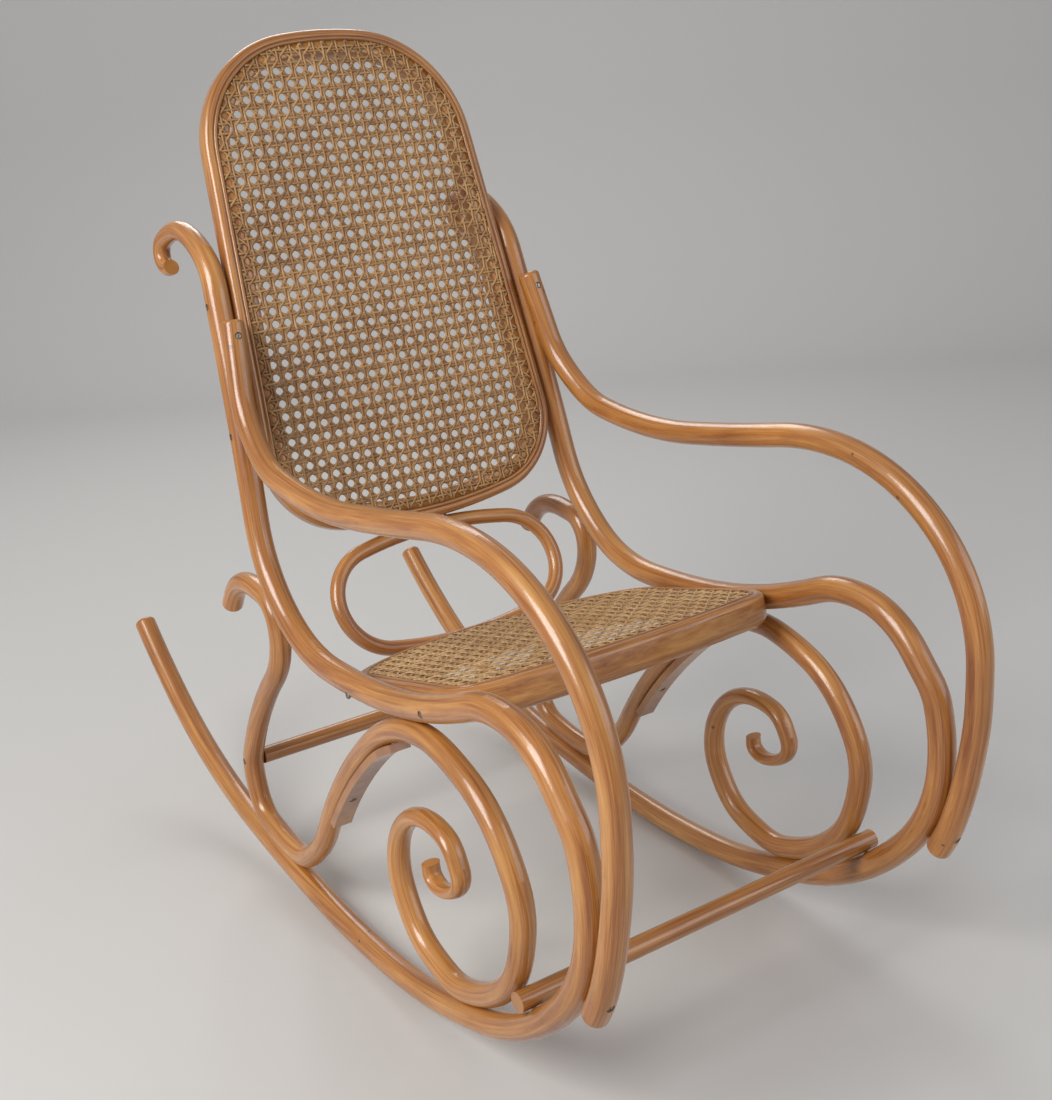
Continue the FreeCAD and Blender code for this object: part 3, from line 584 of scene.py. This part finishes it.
def add_strand(panel, points, faces, tints, start, way, half_wide, height_at, step):
    """A ribbon along a line of the panel; height_at gives its middle height."""
    reach = clipped(panel.outline, start, way)
    if reach is None:
        return
    low, high = reach
    side = Vector((-way.y, way.x))
    count = max(2, int((high - low) / step) + 1)
    lens = ((-1, -EDGE_DROP), (0, STRAND_RISE), (1, -EDGE_DROP), (0, -STRAND_RISE))
    first = len(points)
    wander = random.uniform(-0.12, 0.12) * MM
    tint = random.random()
    for index in range(count + 1):
        run = low + (high - low) * index / count
        middle = start + way * run + side * wander
        height = height_at(run)
        for across, rise in lens:
            spot = middle + side * (across * half_wide)
            points.append(panel.at(spot.x, spot.y, height + rise * MM))
        tints += [(tint, run * 40, 0.0)] * 4
    for index in range(count):
        for corner in range(4):
            a = first + index * 4 + corner
            b = first + index * 4 + (corner + 1) % 4
            faces.append((a, b, b + 4, a + 4))
    faces.append(tuple(first + corner for corner in range(4)))
    faces.append(tuple(first + count * 4 + corner for corner in (3, 2, 1, 0)))


def woven(name, panel, mid):
    """All the strands of a panel. mid is how deep the weave's middle lies below the face."""
    points, faces, tints = [], [], []
    xs = [p.x for p in panel.outline]
    ts = [p.y for p in panel.outline]
    centre = (min(ts) + max(ts)) / 2
    wide = int((max(xs) - min(xs)) / PITCH / 2) + 2
    tall = int((max(ts) - min(ts)) / PITCH / 2) + 2
    beat = math.pi / PITCH

    for index in range(-wide, wide + 1):
        for twin in (-1, 1):
            x = index * PITCH + twin * PAIR
            sign = twin * (1 if index % 2 else -1)
            add_strand(panel, points, faces, tints, Vector((x, centre)), Vector((0, 1)), STRAND,
                       lambda run, s=sign: s * WAVE * math.cos(beat * run) - mid, PITCH / 4)
    for index in range(-tall, tall + 1):
        for twin in (-1, 1):
            t = centre + index * PITCH + twin * PAIR
            sign = twin * (1 if index % 2 else -1)
            add_strand(panel, points, faces, tints, Vector((0, t)), Vector((1, 0)), STRAND,
                       lambda run, s=sign: -s * WAVE * math.cos(beat * run) - mid, PITCH / 4)
    half = math.sqrt(0.5)
    for slant in (-1, 1):
        for index in range(-wide - tall - 1, wide + tall + 1):
            start = Vector(((index + 0.5) * PITCH, centre))
            add_strand(
                panel, points, faces, tints, start, Vector((half, slant * half)), DIAGONAL,
                lambda run, s=slant, k=index: s * 1.5 * WAVE
                * math.cos(beat * run * half * 2 + math.pi * k) - mid,
                PITCH * half / 3,
            )
    piece = mesh_object(name, points, faces)
    data = piece.data.attributes.new("strand", "FLOAT_VECTOR", "POINT")
    data.data.foreach_set("vector", [value for tint in tints for value in tint])
    return piece


weaves = {}
for name, panel in (("back", back), ("seat", seat)):
    piece = woven(name + "_weave_strands", panel, WEAVE_DEEP)
    weaves[name] = piece
    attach(piece, "root")
    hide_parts(name + "_cane")
    print(piece.name, len(piece.data.polygons), "faces")

# %% [markdown]
# ## Finish of the cane
# Cane is the glossy skin of rattan. Old cane goes amber where it is handled and stays straw
# where it is not, and no two strands have quite the same colour, so each strand carries a
# random number, and slow blotches are laid over all of them. The back has a small stained
# patch near the top of its left side, where something was spilt.

# %% Cane finish


def cane_finish(name, dark, light, stain=None):
    recipe = Recipe(name)
    place = recipe.add("ShaderNodeTexCoord").outputs["Object"]
    strand = recipe.add("ShaderNodeAttribute", {"attribute_name": "strand"}).outputs["Vector"]
    apart = recipe.add("ShaderNodeSeparateXYZ", in0=strand)
    fibres = recipe.noise(strand, 3.0, 3.0, 0.6)
    blotch = recipe.noise(place, 11.0, 3.0)
    shade = recipe.math("ADD", recipe.math("MULTIPLY", apart.outputs[0], 0.35),
                        recipe.math("MULTIPLY", blotch, 0.45))
    shade = recipe.math("ADD", shade, recipe.math("MULTIPLY", fibres, 0.25))
    base = recipe.ramp(shade, ((0.25, dark), (0.75, light)))
    if stain is not None:
        away = recipe.add("ShaderNodeVectorMath", {"operation": "DISTANCE"}, in0=place,
                          in1=stain).outputs["Value"]
        ragged = recipe.math("MULTIPLY", recipe.noise(place, 60.0, 3.0), 0.030)
        spot = recipe.math("LESS_THAN", recipe.math("ADD", away, ragged), 0.026)
        base = recipe.mix(recipe.math("MULTIPLY", spot, 0.6), base, (0.20, 0.065, 0.020))
    recipe.set(Base_Color=base, Roughness=0.42, Specular_IOR_Level=0.45, Coat_Weight=0.12,
               Coat_Roughness=0.3)
    recipe.bump(fibres, 0.3, 0.0002)
    return recipe.material


stain_at = back.at(0.135, max(p.y for p in back.outline) - 0.215)
weaves["back"].data.materials.append(
    cane_finish("back_cane_finish", (0.230, 0.105, 0.036), (0.520, 0.295, 0.120), stain_at)
)
weaves["seat"].data.materials.append(
    cane_finish("seat_cane_finish", (0.400, 0.210, 0.080), (0.700, 0.455, 0.215))
)

# %% [markdown]
# ## Reed round the cane
# The cane's rim is tucked into a groove and held there by a length of round reed, glued and
# tapped in. It stands a little proud, so its top is drawn as an arc.

# %% Reed
REED_PLAY = 0.1 * MM
REED_DEEP = 4.5 * MM
REED_CENTRE = 1.2 * MM
for name, panel in (("back", back), ("seat", seat)):
    half = GROOVE_WIDE / 2 - REED_PLAY
    section = [(PLAY + REED_PLAY, -REED_DEEP)]
    section += arc((PLAY + REED_PLAY + half, -REED_CENTRE), half, 180, 0, 8)
    section += [(PLAY + REED_PLAY + 2 * half, -REED_DEEP)]
    piece = swept_ring(name + "_reed", panel, section)
    rows = len(panel.outline)
    mark_grain(piece, rows, len(section))
    piece.data.materials.append(frame_wood(name + "_reed_finish", 0.80))
    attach(piece, "root")
    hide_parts(name + "_spline")
    print(piece.name, len(piece.data.polygons), "faces")

# %% [markdown]
# ## Ring and screws
# The oval ring is a bent rod too, but it bends in a plane that leans back, so its finish is
# told that plane's normal. The screws are plain steel, dulled by age.

# %% Ring and screws
ring_low, ring_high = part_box("back_ring")
ring_slope = Vector((0, ring_high.y - ring_low.y, ring_high.z - ring_low.z)).normalized()
ring_normal = Vector((1, 0, 0)).cross(ring_slope)
finish_node("back_ring", bent_wood("ring_wood", tuple(ring_normal)))


def dull_steel():
    recipe = Recipe("dull_steel")
    place = recipe.add("ShaderNodeTexCoord").outputs["Object"]
    tarnish = recipe.noise(place, 400.0, 3.0)
    base = recipe.ramp(tarnish, ((0.35, (0.16, 0.13, 0.10)), (0.65, (0.42, 0.40, 0.37))))
    recipe.set(Base_Color=base, Metallic=0.9, Roughness=0.42)
    recipe.bump(tarnish, 0.2, 0.0002)
    return recipe.material


steel = dull_steel()
for group in ("arm", "scroll", "stretcher", "back", "seat", "ring", "brace"):
    finish_node(group + "_screws", steel)

# %% [markdown]
# ## Smooth rods
# The rods come as many small flats. Smooth shading with a sharp-edge limit makes the bends
# read as round, and keeps the edges of the screws' ways crisp.

# %% Shading
for name, node in nodes.items():
    if node.hide_render:
        continue
    node.data.polygons.foreach_set("use_smooth", [True] * len(node.data.polygons))
    node.data.set_sharp_from_angle(angle=math.radians(38))
print("rods shaded smooth")
